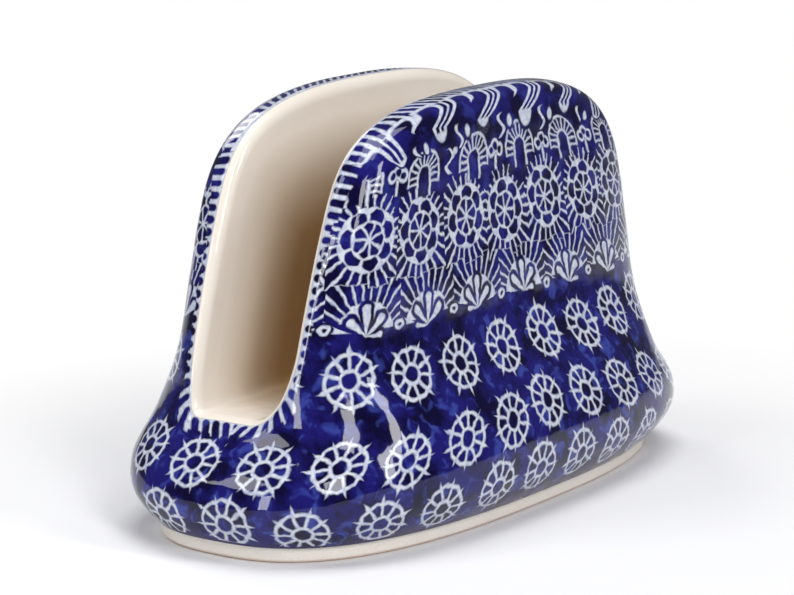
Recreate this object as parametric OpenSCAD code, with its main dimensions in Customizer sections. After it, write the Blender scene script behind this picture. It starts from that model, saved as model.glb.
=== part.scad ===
// Stoneware napkin holder: two hollow bell-shaped walls on a flared base, with a slot for the
// napkins between them that is open at both ends and at the top.
// X runs along the slot, Y from the front wall (-Y) to the rear wall (+Y), and Z is up. The origin
// is on the table, under the middle of the holder.

/* [Overall form] */
// Length over the bulge of the base
holder_length = 167; // [138:1:198]
// Width over the bulge of the base
holder_width = 83.5; // [77:0.5:110]
// Height from the table to the crown of the walls
holder_height = 95; // [84:1:120]

/* [Slot] */
// Width of the slot at half of the holder's height
slot_width = 24.2; // [18:0.1:30]
// How much wider the slot is at the crown than it would be at the table
slot_draft = 1.1; // [0:0.1:3]
// Height of the slot's floor above the table
floor_height = 28.6; // [24:0.2:36]
// Height over which the floor runs up into the slot's sides
cove_height = 16; // [8:0.5:18]
// How far the wide cove reaches from the front wall across the floor
front_cove_width = 9; // [4:0.5:12]
// The same for the tight cove at the rear wall
rear_cove_width = 6; // [3:0.5:10]
// Radius of the rounded lip along the edge of each wall
lip_radius = 3; // [1:0.1:3.4]
// Radius of the rounded lip at the ends of the floor
floor_lip_radius = 3.4; // [1:0.1:4]

/* [Hollow walls] */
// Thickness of the outer skin
skin_thickness = 5; // [3:0.25:6]
// Thickness of the flat skin beside the slot
panel_thickness = 4.5; // [3:0.25:6]
// Thickness of the slot's floor
floor_thickness = 4.5; // [4:0.25:6]

/* [Foot] */
// Height of the bare foot
foot_height = 3.6; // [2:0.1:5]
// Width of the ring that stands on the table
foot_width = 8; // [6.5:0.5:14]
// How far the foot stands back under the skirt
foot_inset = 1; // [0:0.1:2]
// Rounding along the foot's lower edge
foot_rounding = 1; // [0.3:0.1:1.5]
// Thickness of the plate that closes the underside
bottom_thickness = 4.5; // [3:0.25:6]
// Diameter of the hole that lets the air out in the kiln
vent_diameter = 6; // [3:0.5:10]

/* [Hidden] */

// Where the outline is set out, as shares of the height. The lowest station is the foot's top.
station_height_shares = [0.11, 0.17, 0.28, 0.42, 0.60, 1.00];
// Half length and half width at the foot's top and at those stations: bulge, flare, leaning sides
length_shares = [0.949, 0.999, 0.985, 0.871, 0.830, 0.765, 0.586];
width_shares = [0.856, 0.983, 0.999, 0.922, 0.735, 0.653, 0.544];
// Squareness of the plan: 2 is an oval, and more is nearer to a rectangle
squareness_height_shares = [0.034, 0.30, 0.60, 0.85, 1.00];
squareness = [2.69, 3.17, 4.72, 6.95, 4.98];
// The same for the two coves of the slot's floor: 2 is a plain arc, and more is a tighter corner
front_cove_squareness = 2;
rear_cove_squareness = 8;
// Where the shoulders and the upper edge begin to round over, and how square each one is
shoulder_height_share = 0.699;
shoulder_rise = 4.59;
shoulder_run = 2.82;
edge_height_share = 0.909;
edge_squareness = 3.39;
// The most that the outer skin takes of the room behind a panel, so that a thin wall stays hollow
skin_room_share = 0.9;

// Counts of facets: up the flare beside the slot's floor, up the straight of a wall, over its
// crown, along half of the plan, round the whole plan, up the skirt and its hollow, round the lip
// and across the floor. A cove has two for each one of the flare.
flare_steps = 5;
straight_steps = 5;
crown_steps = 15;
half_plan_steps = 26;
plan_steps = 60;
skirt_steps = 12;
hollow_steps = 5;
lip_steps = 4;
cove_steps = 2 * flare_steps;
floor_steps = 4;
// Crowds the facets towards the crown, where the outline turns level
crowding = 1.25;
halvings = 24;
vent_facets = 48;

split_height = floor_height - floor_thickness;
panel_base = floor_height + cove_height;
shoulder_height = shoulder_height_share * holder_height;
edge_height = edge_height_share * holder_height;
station_heights = concat([foot_height], station_height_shares * holder_height);
squareness_heights = squareness_height_shares * holder_height;
half_lengths = length_shares * holder_length / 2;
half_widths = width_shares * holder_width / 2;

function mix(from, to, share) = from + (to - from) * share;
function unit(v) = v / norm(v);

// A smooth curve through stations. Its slope at each one is that of a parabola through three.
function interval(xs, x, k = 0) = k >= len(xs) - 2 || x < xs[k + 1] ? k : interval(xs, x, k + 1);
function secant(xs, ys, k) = (ys[k + 1] - ys[k]) / (xs[k + 1] - xs[k]);
function middle_slope(xs, ys, k) = let (before = xs[k] - xs[k - 1], after = xs[k + 1] - xs[k])
    (before * secant(xs, ys, k) + after * secant(xs, ys, k - 1)) / (before + after);
function tangents(xs, ys) = let (last = len(xs) - 1) [for (k = [0 : last])
    k == 0 ? (3 * secant(xs, ys, 0) - middle_slope(xs, ys, 1)) / 2 :
    k == last ? (3 * secant(xs, ys, last - 1) - middle_slope(xs, ys, last - 1)) / 2 :
    middle_slope(xs, ys, k)];
function curve(xs, ys, slopes, x) =
    let (k = interval(xs, x), h = xs[k + 1] - xs[k], t = (x - xs[k]) / h, r = 1 - t)
    ys[k] * (1 + 2 * t) * r * r + ys[k + 1] * t * t * (3 - 2 * t)
    + h * t * r * (slopes[k] * r - slopes[k + 1] * t);

length_slopes = tangents(station_heights, half_lengths);
width_slopes = tangents(station_heights, half_widths);
squareness_slopes = tangents(squareness_heights, squareness);

// A superelliptic rounding that falls from 1 at its start to 0 at the top
function rounding(z, start, top, rise, run) =
    z <= start ? 1 :
    z >= top ? 0 :
    pow(1 - pow((z - start) / (top - start), rise), 1 / run);

// Half length, half width and squareness of the plan at a height. With an inset they give the
// hollow inside a wall, which closes on the back of the panel.
function half_length(z, inset = 0) =
    (curve(station_heights, half_lengths, length_slopes, z) - inset)
    * rounding(z, shoulder_height, holder_height - inset, shoulder_rise, shoulder_run);
function slot_half(z) = slot_width / 2 + slot_draft * (z / holder_height - 1 / 2);
function half_width(z, inset = 0) =
    let (outer = curve(station_heights, half_widths, width_slopes, z),
         room = outer - slot_half(z) - panel_thickness)
    mix(slot_half(z) + (inset == 0 ? lip_radius : panel_thickness),
        outer - min(inset, skin_room_share * room),
        rounding(z, edge_height, holder_height - inset, edge_squareness, edge_squareness));
function plan_power(z) = curve(squareness_heights, squareness, squareness_slopes, z);

// How far the outer form reaches along X at a height and a distance from the middle plane
function reach(z, y) = let (n = plan_power(z))
    half_length(z) * pow(max(0, 1 - pow(min(1, y / half_width(z)), n)), 1 / n);

// Height at which the outer form closes at a depth behind the slot's face
function closing(depth, low = edge_height, high = holder_height, turn = 0) =
    depth <= lip_radius ? holder_height :
    turn == halvings ? low :
    let (middle = (low + high) / 2)
    half_width(middle) - slot_half(middle) > depth
        ? closing(depth, middle, high, turn + 1)
        : closing(depth, low, middle, turn + 1);

// Heights of the facets up a wall, as shares of the way from the panel's base to the crown, and
// those of the flare below it
level_shares = let (straight = (shoulder_height - panel_base) / (holder_height - panel_base))
    concat([for (k = [0 : straight_steps - 1]) straight * k / straight_steps],
           [for (k = [0 : crown_steps])
               let (turn = 90 * (1 - pow(1 - k / crown_steps, crowding)))
               mix(straight, 1, pow(sin(turn), 2 / shoulder_rise))]);
function levels(top) = [for (share = level_shares) mix(panel_base, top, share)];
flare_levels = [for (k = [0 : flare_steps - 1]) mix(split_height, panel_base, k / flare_steps)];

// How steeply the outer form leans at a height, seen from the front
function lean(z, y) = let (step = holder_height / 1000)
    (reach(z + step, y) - reach(z - step, y)) / (2 * step);
// How far a rounded lip draws back from the outer form at a depth behind the slot's face
function draw_back(depth, radius) =
    depth >= radius ? 0 : radius - sqrt(radius * radius - pow(radius - depth, 2));

// Skins a list of loops that have equal counts of points
module loft(loops, closed = false) {
    count = len(loops[0]);
    last = len(loops) - 1;
    sides = [for (j = [0 : closed ? last : last - 1], k = [0 : count - 1])
        let (up = (j + 1) % len(loops), next = (k + 1) % count)
        each [[j * count + k, j * count + next, up * count + next],
              [j * count + k, up * count + next, up * count + k]]];
    caps = closed ? [] :
        [[for (k = [count - 1 : -1 : 0]) k], [for (k = [0 : count - 1]) last * count + k]];
    polyhedron([for (loop = loops) each loop], concat(sides, caps), convexity = 8);
}

// One level slice's plan as a closed list of points, drawn in by an inset
function plan(z, inset = 0) =
    let (a = half_length(z) - inset, b = half_width(z) - inset, n = plan_power(z))
    [for (k = [0 : plan_steps - 1])
        let (turn = 360 * k / plan_steps, c = cos(turn), s = sin(turn),
             r = pow(pow(abs(c), n) + pow(abs(s), n), -1 / n))
        [a * r * c, b * r * s, z]];

// Outer skin of one wall, on the +Y side. Each loop runs along the outer face from end to end and
// back along the hollow side, and the loops close on one point at the crown.
function skin_row(z, inset) =
    let (n = plan_power(z), a = half_length(z, inset), b = half_width(z, inset),
         share = min(1, (slot_half(z) + panel_thickness) / b),
         first = atan2(share, pow(1 - pow(share, n), 1 / n)))
    [for (k = [0 : half_plan_steps])
        let (turn = mix(180 - first, first, k / half_plan_steps), c = cos(turn), s = sin(turn),
             r = pow(pow(abs(c), n) + pow(abs(s), n), -1 / n))
        [a * r * c, b * r * s, z]];
function peak_point(z) = [0, slot_half(z) + panel_thickness, z];

module wall_skin() {
    outer_levels = concat(flare_levels, levels(closing(panel_thickness)));
    hollow_levels = concat(flare_levels, levels(holder_height - skin_thickness));
    rows = len(outer_levels) - 1;
    row = half_plan_steps + 1;
    count = 2 * row;
    points = concat(
        [for (j = [0 : rows - 1])
            let (hollow = skin_row(hollow_levels[j], skin_thickness))
            each concat(skin_row(outer_levels[j], 0),
                        [for (k = [half_plan_steps : -1 : 0]) hollow[k]])],
        [peak_point(outer_levels[rows]), peak_point(hollow_levels[rows])]);
    outer_peak = rows * count;
    hollow_peak = outer_peak + 1;
    base = [for (k = [0 : row - 2])
        let (far = count - 1 - k)
        each [[k, k + 1, far - 1], [k, far - 1, far]]];
    sides = [for (j = [0 : rows - 2], k = [0 : count - 1])
        let (here = j * count + k, next = j * count + (k + 1) % count)
        each [[here, next + count, next], [here, here + count, next + count]]];
    top = (rows - 1) * count;
    crown = [for (k = [0 : count - 1])
        [top + k, k < row - 1 || k == count - 1 ? outer_peak : hollow_peak, top + (k + 1) % count]];
    ridge = [[top + row - 1, outer_peak, hollow_peak], [top + count - 1, hollow_peak, outer_peak]];
    polyhedron(points, concat(base, sides, crown, ridge), convexity = 8);
}

// Flat skin beside the slot, on the +Y side, with its rounded lip. It is a stack of arch outlines
// from the slot's face to the back of the panel.
lip_depths = [for (k = [0 : lip_steps]) lip_radius * (1 - cos(90 * k / lip_steps))];
panel_depths = concat(lip_depths, [(lip_radius + panel_thickness) / 2, panel_thickness]);
function arch_side(depth) =
    [for (z = levels(closing(depth))) [-reach(z, slot_half(z) + depth), z]];
function arch_point(side, k, inset) =
    let (last = len(side) - 1, p = side[k],
         before = k == 0 ? side[0] : side[k - 1],
         after = k == last ? [-side[last - 1].x, side[last - 1].y] : side[k + 1],
         way = unit(after - before), inward = [way.y, -way.x])
    k == 0 ? [p.x + inset / inward.x, p.y] :
    k == last ? [0, p.y - inset] :
    p + inset * inward;
function arch(depth) =
    let (side = arch_side(depth), inset = draw_back(depth, lip_radius), last = len(side) - 1,
         near = [for (k = [0 : last]) arch_point(side, k, inset)])
    [for (k = [0 : 2 * last])
        let (p = k <= last ? near[k] : [-near[2 * last - k].x, near[2 * last - k].y])
        [p.x, slot_half(p.y) + depth, p.y]];

module slot_panel() {
    loft([for (depth = panel_depths) arch(depth)]);
}

// Floor of the slot, as a trough with a wide cove at the front wall and a tight one at the rear.
// Each loop lies across the trough's thickness, and the loops go from the rear side to the front.
function cove_path(width, squareness) = [for (k = [0 : cove_steps])
    let (turn = 90 * k / cove_steps,
         z = floor_height + cove_height * (1 - pow(sin(turn), 2 / squareness)))
    [slot_half(z) - width * (1 - pow(cos(turn), 2 / squareness)), z]];
function cove_end(width) = slot_half(floor_height) - width;
function cove_backing(width) = [for (k = [0 : cove_steps])
    k <= flare_steps
        ? let (z = mix(panel_base, split_height, k / flare_steps))
            [slot_half(z) + panel_thickness, z]
        : [mix(slot_half(split_height) + panel_thickness, cove_end(width), k / flare_steps - 1),
           split_height]];
function flat_path(z) = [for (k = [1 : floor_steps - 1])
    [mix(cove_end(rear_cove_width), -cove_end(front_cove_width), k / floor_steps), z]];
function mirrored(path) = [for (k = [len(path) - 1 : -1 : 0]) [-path[k].x, path[k].y]];
trough_face = concat(cove_path(rear_cove_width, rear_cove_squareness), flat_path(floor_height),
                     mirrored(cove_path(front_cove_width, front_cove_squareness)));
trough_back = concat(cove_backing(rear_cove_width), flat_path(split_height),
                     mirrored(cove_backing(front_cove_width)));
trough_last = len(trough_face) - 1;
function trough_lip(k) =
    mix(lip_radius, floor_lip_radius, min(1, k / cove_steps, (trough_last - k) / cove_steps));
function trough_way(k) =
    k == 0 ? [1, 0] :
    k == trough_last ? [-1, 0] :
    let (along = unit(trough_face[k + 1] - trough_face[k - 1])) [-along.y, along.x];
function trough_end(k) =
    let (radius = trough_lip(k),
         inner = [for (depth = lip_depths) depth * radius / lip_radius])
    [for (m = [0 : len(inner)])
        let (p = m < len(inner) ? trough_face[k] + trough_way(k) * inner[m] : trough_back[k],
             back = m < len(inner) ? draw_back(inner[m], radius) : 0,
             slope = lean(p.y, abs(p.x)))
        [reach(p.y, abs(p.x)) - back * sqrt(1 + slope * slope), p.x, p.y]];
function trough_loop(k) =
    let (end = trough_end(k), last = len(end) - 1)
    [for (m = [0 : 2 * last + 1])
        m <= last ? [-end[m].x, end[m].y, end[m].z]
                  : [end[2 * last + 1 - m].x, end[2 * last + 1 - m].y, end[2 * last + 1 - m].z]];

module trough() {
    loft([for (k = [0 : trough_last]) trough_loop(k)]);
}

// A hollow ring: each loop goes up its outside and down its inside at one place on the plan
module ring(outer_plans, inner_plans) {
    loft([for (k = [0 : plan_steps - 1])
        concat([for (p = outer_plans) p[k]],
               [for (m = [len(inner_plans) - 1 : -1 : 0]) inner_plans[m][k]])], closed = true);
}

function lowered(points, z) = [for (p = points) [p.x, p.y, z]];

// Outer skin of the front wall, under the blue and white decoration
module front_wall() {
    color([0.20, 0.24, 0.56]) mirror([0, 1, 0]) wall_skin();
}

module rear_wall() {
    color([0.20, 0.24, 0.56]) wall_skin();
}

// Ivory skin of the front wall beside the slot, with the lip along its arch
module front_slot_panel() {
    color([0.90, 0.87, 0.80]) mirror([0, 1, 0]) slot_panel();
}

module rear_slot_panel() {
    color([0.90, 0.87, 0.80]) slot_panel();
}

// Ivory floor that the napkins stand on
module slot_floor() {
    color([0.88, 0.84, 0.76]) trough();
}

// Bulging, flared lower body
module base_skirt() {
    outer = [for (k = [0 : skirt_steps]) plan(mix(foot_height, split_height, k / skirt_steps))];
    hollow = [for (k = [0 : hollow_steps])
        plan(mix(foot_height, split_height, k / hollow_steps), skin_thickness)];
    color([0.16, 0.19, 0.50]) ring(outer, hollow);
}

// Bare ring that stands on the table, with a rounded lower edge
module foot_ring() {
    edge = [for (k = [0 : lip_steps]) 90 * k / lip_steps];
    outer = concat(
        [for (turn = edge) lowered(plan(foot_height, foot_inset + foot_rounding * (1 - sin(turn))),
                                   foot_rounding * (1 - cos(turn)))],
        [plan(foot_height, foot_inset)]);
    inner = [for (turn = edge)
        lowered(plan(foot_height, foot_inset + foot_width - foot_rounding * (1 - sin(turn))),
                foot_rounding * (1 - cos(turn)))];
    color([0.93, 0.89, 0.82])
    ring(outer, concat(inner, [plan(foot_height, foot_inset + foot_width)]));
}

// Plate that closes the underside, seated on the foot's inner ledge inside the skirt
module bottom_plate() {
    outline = [for (p = plan(foot_height, skin_thickness)) [p.x, p.y]];
    color([0.90, 0.86, 0.78])
    difference() {
        translate([0, 0, foot_height]) linear_extrude(bottom_thickness) polygon(outline);
        cylinder(h = holder_height, d = vent_diameter, $fn = vent_facets);
    }
}

front_wall();
rear_wall();
front_slot_panel();
rear_slot_panel();
slot_floor();
base_skirt();
foot_ring();
bottom_plate();
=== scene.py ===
import math

import bmesh
import bpy
import numpy as np
from mathutils import Matrix, Vector


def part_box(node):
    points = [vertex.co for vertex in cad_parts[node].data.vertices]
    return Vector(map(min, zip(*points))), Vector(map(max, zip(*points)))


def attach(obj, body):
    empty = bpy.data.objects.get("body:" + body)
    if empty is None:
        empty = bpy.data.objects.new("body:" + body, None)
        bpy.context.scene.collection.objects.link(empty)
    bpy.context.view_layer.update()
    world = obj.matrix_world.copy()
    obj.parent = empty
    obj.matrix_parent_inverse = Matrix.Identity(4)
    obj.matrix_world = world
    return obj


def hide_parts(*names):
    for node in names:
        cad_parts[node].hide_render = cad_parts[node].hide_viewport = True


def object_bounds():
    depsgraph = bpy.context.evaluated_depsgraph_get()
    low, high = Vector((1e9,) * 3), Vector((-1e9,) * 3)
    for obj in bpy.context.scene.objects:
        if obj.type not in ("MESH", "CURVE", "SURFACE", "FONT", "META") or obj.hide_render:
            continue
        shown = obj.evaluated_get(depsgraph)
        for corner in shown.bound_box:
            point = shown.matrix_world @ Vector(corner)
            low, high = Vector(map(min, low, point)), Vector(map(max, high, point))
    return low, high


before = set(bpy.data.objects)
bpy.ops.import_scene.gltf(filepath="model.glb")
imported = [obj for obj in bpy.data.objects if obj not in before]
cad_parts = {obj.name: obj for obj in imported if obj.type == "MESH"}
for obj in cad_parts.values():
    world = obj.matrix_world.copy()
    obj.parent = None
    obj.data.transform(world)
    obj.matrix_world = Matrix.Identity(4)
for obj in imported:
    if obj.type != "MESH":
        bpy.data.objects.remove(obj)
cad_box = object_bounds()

# All shapes below are worked out in millimetres and scaled as they are put into meshes.
MM = 0.001

# Camera: its turn, rise and roll in degrees, its distance and lens, and the point it looks at
AZIMUTH = -56.416
ELEVATION = 11.349
ROLL = 0.471
DISTANCE = 758.66
LENS = 148.14
TARGET_SIDE = -4.78
TARGET_HEIGHT = 43.98


def make_camera():
    azimuth, elevation, roll = (math.radians(a) for a in (AZIMUTH, ELEVATION, ROLL))
    back = Vector((math.sin(azimuth) * math.cos(elevation),
                   -math.cos(azimuth) * math.cos(elevation),
                   math.sin(elevation)))
    right = Vector((math.cos(azimuth), math.sin(azimuth), 0))
    up = back.cross(right)
    place = (right * TARGET_SIDE + Vector((0, 0, TARGET_HEIGHT)) + back * DISTANCE) * MM
    side = right * math.cos(roll) + up * math.sin(roll)
    top = up * math.cos(roll) - right * math.sin(roll)
    data = bpy.data.cameras.new("camera")
    data.sensor_fit = "HORIZONTAL"
    data.sensor_width = 36
    data.lens = LENS
    data.clip_start = 0.01
    data.clip_end = 50
    camera = bpy.data.objects.new("camera", data)
    turned = Matrix((side, top, back)).transposed().to_4x4()
    camera.matrix_world = Matrix.Translation(place) @ turned
    bpy.context.scene.collection.objects.link(camera)
    bpy.context.scene.camera = camera


make_camera()

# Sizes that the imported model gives, and the fixed sizes of its slot, walls and foot
SIZE = (cad_box[1] - cad_box[0]) / MM
HEIGHT = SIZE.z
FOOT_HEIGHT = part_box("foot_ring")[1].z / MM
SPLIT_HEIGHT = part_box("base_skirt")[1].z / MM
PANEL_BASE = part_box("front_slot_panel")[0].z / MM
BOTTOM_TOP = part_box("bottom_plate")[1].z / MM
SLOT_WIDTH = 24.2
SLOT_DRAFT = 1.1
COVE_HEIGHT = 16.0
FRONT_COVE_WIDTH = 9.0
REAR_COVE_WIDTH = 6.0
FRONT_COVE_SQUARENESS = 2.0
REAR_COVE_SQUARENESS = 8.0
LIP_RADIUS = 3.0
FLOOR_LIP_RADIUS = 3.4
SKIN = 5.0
PANEL = 4.5
FOOT_WIDTH = 8.0
FOOT_INSET = 1.0
FOOT_ROUNDING = 1.0
VENT_RADIUS = 3.0
SKIN_ROOM_SHARE = 0.9
FLOOR_HEIGHT = PANEL_BASE - COVE_HEIGHT

# The outline: half length and half width at the foot's top and at stations up the height
STATIONS = np.array([FOOT_HEIGHT] + [s * HEIGHT for s in (0.11, 0.17, 0.28, 0.42, 0.60, 1.00)])
LENGTH_SHARES = np.array([0.949, 0.999, 0.985, 0.871, 0.830, 0.765, 0.586])
WIDTH_SHARES = np.array([0.856, 0.983, 0.999, 0.922, 0.735, 0.653, 0.544])
SQUARENESS_HEIGHTS = np.array([0.034, 0.30, 0.60, 0.85, 1.00]) * HEIGHT
SQUARENESS = np.array([2.69, 3.17, 4.72, 6.95, 4.98])
SHOULDER_HEIGHT = 0.699 * HEIGHT
SHOULDER_RISE = 4.59
SHOULDER_RUN = 2.82
EDGE_HEIGHT = 0.909 * HEIGHT
EDGE_SQUARENESS = 3.39

# Counts of faces: up the flare, up the straight of a wall, over its crown, along a wall, across a
# panel, round the lip and on to the back of a skin, across the floor, along the slot, up the skirt,
# round the foot and across the plate. A cove has twice as many as the flare.
FLARE_STEPS = 16
STRAIGHT_STEPS = 34
CROWN_STEPS = 46
WALL_COLUMNS = 150
PANEL_COLUMNS = 48
LIP_STEPS = 12
BACK_STEPS = 5
FLOOR_STEPS = 16
SLOT_COLUMNS = 48
SKIRT_ROWS = 30
FOOT_COLUMNS = 240
PLATE_RINGS = 12
FOOT_EDGE_POINTS = 8
FOOT_SIDE_POINTS = 5
# How far the rows of a crown crowd towards its top, and how finely curves are measured
CROWDING = 1.25
CURVE_SAMPLES = 2000
COVE_SAMPLES = 4001
HALVINGS = 40


def mix(low, high, share):
    return low + (high - low) * share


def tangents(xs, ys):
    steps = np.diff(xs)
    secants = np.diff(ys) / steps
    middle = (steps[:-1] * secants[1:] + steps[1:] * secants[:-1]) / (steps[:-1] + steps[1:])
    first = (3 * secants[0] - middle[0]) / 2
    last = (3 * secants[-1] - middle[-1]) / 2
    return np.concatenate([[first], middle, [last]])


def curve(xs, ys, x):
    slopes = tangents(xs, ys)
    k = np.clip(np.searchsorted(xs, x, side="right") - 1, 0, len(xs) - 2)
    h = xs[k + 1] - xs[k]
    t = (x - xs[k]) / h
    r = 1 - t
    return (ys[k] * (1 + 2 * t) * r * r + ys[k + 1] * t * t * (3 - 2 * t)
            + h * t * r * (slopes[k] * r - slopes[k + 1] * t))


def peak(shares):
    heights = np.linspace(FOOT_HEIGHT, HEIGHT / 2, CURVE_SAMPLES)
    return curve(STATIONS, shares, heights).max()


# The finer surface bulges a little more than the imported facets, so it is drawn in to their box.
HALF_LENGTHS = LENGTH_SHARES * SIZE.x / peak(LENGTH_SHARES) / 2
HALF_WIDTHS = WIDTH_SHARES * SIZE.y / peak(WIDTH_SHARES) / 2


def rounding(z, start, top, rise, run):
    share = np.clip((z - start) / (top - start), 0, 1)
    return np.power(1 - np.power(share, rise), 1 / run)


def half_length(z, inset=0):
    return ((curve(STATIONS, HALF_LENGTHS, z) - inset)
            * rounding(z, SHOULDER_HEIGHT, HEIGHT - inset, SHOULDER_RISE, SHOULDER_RUN))


def slot_half(z):
    return SLOT_WIDTH / 2 + SLOT_DRAFT * (z / HEIGHT - 0.5)


def half_width(z, inset=0):
    outer = curve(STATIONS, HALF_WIDTHS, z)
    room = outer - slot_half(z) - PANEL
    narrow = slot_half(z) + (PANEL if inset else LIP_RADIUS)
    return mix(narrow, outer - np.minimum(inset, SKIN_ROOM_SHARE * room),
               rounding(z, EDGE_HEIGHT, HEIGHT - inset, EDGE_SQUARENESS, EDGE_SQUARENESS))


def plan_power(z):
    return curve(SQUARENESS_HEIGHTS, SQUARENESS, z)


def complement(share, n):
    return np.power(np.maximum(0, 1 - np.power(np.minimum(1, share), n)), 1 / n)


def reach(z, y):
    return half_length(z) * complement(np.abs(y) / half_width(z), plan_power(z))


def plan_points(z, turn, a, b):
    n = plan_power(z)
    c, s = np.cos(turn), np.sin(turn)
    r = np.power(np.power(np.abs(c), n) + np.power(np.abs(s), n), -1 / n)
    return np.stack(np.broadcast_arrays(a * r * c, b * r * s, z), -1)


def plan(z, turn, inset=0):
    return plan_points(z, turn, half_length(z) - inset, half_width(z) - inset)


def closing(depth):
    """The height at which a wall has become no thicker than a depth."""
    if depth <= LIP_RADIUS:
        return HEIGHT
    low, high = EDGE_HEIGHT, HEIGHT
    for _ in range(HALVINGS):
        middle = (low + high) / 2
        if half_width(middle) - slot_half(middle) > depth:
            low = middle
        else:
            high = middle
    return low


def level_shares():
    straight = (SHOULDER_HEIGHT - PANEL_BASE) / (HEIGHT - PANEL_BASE)
    low = straight * np.arange(STRAIGHT_STEPS) / STRAIGHT_STEPS
    turn = math.pi / 2 * (1 - np.power(1 - np.linspace(0, 1, CROWN_STEPS + 1), CROWDING))
    return np.concatenate([low, mix(straight, 1, np.power(np.sin(turn), 2 / SHOULDER_RISE))])


def levels(top):
    return mix(PANEL_BASE, top, level_shares())


def draw_back(depth, radius):
    near = np.minimum(depth, radius)
    return radius - np.sqrt(radius ** 2 - (radius - near) ** 2)


def lean(z, y):
    step = HEIGHT / 1000
    return (reach(z + step, y) - reach(z - step, y)) / (2 * step)


# A shell is a list of patches, each a grid of points with its depth behind the slot's face and
# whether it shows. Patches share their edges, and the shell is welded into one closed mesh.
def patch(points, depth, shows=True, closed=False):
    points = np.asarray(points, float)
    depth = np.broadcast_to(np.asarray(depth, float), points.shape[:2])
    return {"points": points, "depth": depth, "shows": shows, "closed": closed}


# A depth past every line of paint
DEEP = 99.0
FLARE_HEIGHTS = np.linspace(SPLIT_HEIGHT, PANEL_BASE, FLARE_STEPS + 1)


def across(first, last, count):
    shares = np.linspace(0, 1, count + 1)[None, :, None]
    return mix(first[:, None, :], last[:, None, :], shares)


def wall_rows(heights, inset):
    z = heights[:, None]
    n = plan_power(z)
    a, b = half_length(z, inset), half_width(z, inset)
    share = np.minimum(1, (slot_half(z) + PANEL) / b)
    first = np.arctan2(share, complement(share, n))
    turn = mix(math.pi - first, first, np.linspace(0, 1, WALL_COLUMNS + 1)[None, :])
    points = plan_points(z, turn, a, b)
    points[-1, :, 0] = 0
    points[-1, :, 1] = slot_half(heights[-1]) + PANEL
    return points


def wall_shell():
    outer = wall_rows(np.concatenate([FLARE_HEIGHTS[:-1], levels(closing(PANEL))]), 0)
    hollow = wall_rows(np.concatenate([FLARE_HEIGHTS[:-1], levels(HEIGHT - SKIN)]), SKIN)
    return [patch(outer, DEEP), patch(hollow, DEEP, False),
            patch(np.stack([outer[0], hollow[0]]), DEEP, False),
            patch(np.stack([outer[:, 0], hollow[:, 0]], 1), DEEP, False),
            patch(np.stack([outer[:, -1], hollow[:, -1]], 1), DEEP, False)]


LIP_SHARES = 1 - np.cos(math.pi / 2 * np.linspace(0, 1, LIP_STEPS + 1))


def lip_depths(radius, total):
    beyond = mix(radius, total, np.linspace(0, 1, BACK_STEPS + 1)[1:])
    return np.concatenate([radius * LIP_SHARES, beyond])


SPREAD = 6.0


def near_arch(depth):
    z = levels(closing(depth))
    side = np.stack([-reach(z, slot_half(z) + depth), z], 1)
    inset = draw_back(depth, LIP_RADIUS)
    before = np.vstack([side[:1], side[:-1]])
    after = np.vstack([side[1:], [[-side[-2, 0], side[-2, 1]]]])
    way = after - before
    way /= np.linalg.norm(way, axis=1)[:, None]
    inward = np.stack([way[:, 1], -way[:, 0]], 1)
    moved = side + inset * inward
    moved[-1] = [0, side[-1, 1] - inset]
    # The lip's offset takes the lowest points under the panel's base, so they are spread upward.
    high = PANEL_BASE + SPREAD
    squeezed = mix(high, PANEL_BASE, (high - moved[:, 1]) / (high - moved[0, 1]))
    z = np.where(moved[:, 1] < high, squeezed, moved[:, 1])
    x = np.where(moved[:, 1] < high, np.interp(z, moved[:, 1], moved[:, 0]), moved[:, 0])
    return np.stack([x, slot_half(z) + depth, z], 1)


def mirrored(points, axis):
    result = np.array(points, float)
    result[..., axis] *= -1
    return result


PANEL_DEPTHS = lip_depths(LIP_RADIUS, PANEL)
ARCHES = np.stack([near_arch(depth) for depth in PANEL_DEPTHS], 1)


def panel_shell():
    around = np.concatenate([ARCHES, mirrored(ARCHES[-2::-1], 0)])
    face, back, base = (across(edge, mirrored(edge, 0), PANEL_COLUMNS)
                        for edge in (ARCHES[:, 0], ARCHES[:, -1], ARCHES[0]))
    return [patch(around, PANEL_DEPTHS[None, :]), patch(face, 0),
            patch(back, PANEL, False), patch(base, PANEL_DEPTHS[:, None], False)]


# The cross-section of the slot's floor runs from the rear side (+Y) to the front, as a face and a
# back. Its bends get points as if each radian were this long.
CORNER_WEIGHT = 6.0


def cove(width, squareness):
    turn = math.pi / 2 * np.linspace(0, 1, COVE_SAMPLES)
    rise = 1 - np.power(np.sin(turn), 2 / squareness)
    z = FLOOR_HEIGHT + COVE_HEIGHT * rise
    y = slot_half(z) - width * (1 - np.power(np.maximum(0, np.cos(turn)), 2 / squareness))
    steps = np.diff(np.stack([y, z], 1), axis=0)
    heading = np.unwrap(np.arctan2(steps[:, 1], steps[:, 0]))
    bends = np.abs(np.diff(heading, prepend=heading[0]))
    way = np.cumsum(np.linalg.norm(steps, axis=1) + CORNER_WEIGHT * bends)
    way = np.concatenate([[0], way])
    even = np.linspace(0, way[-1], 2 * FLARE_STEPS + 1)
    return np.stack([np.interp(even, way, y), np.interp(even, way, z)], 1)


def cove_backing(width):
    down = FLARE_HEIGHTS[::-1]
    inward = mix(slot_half(SPLIT_HEIGHT) + PANEL, slot_half(FLOOR_HEIGHT) - width,
                 np.linspace(0, 1, FLARE_STEPS + 1)[1:])
    return np.concatenate([np.stack([slot_half(down) + PANEL, down], 1),
                           np.stack([inward, np.full(FLARE_STEPS, SPLIT_HEIGHT)], 1)])


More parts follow.
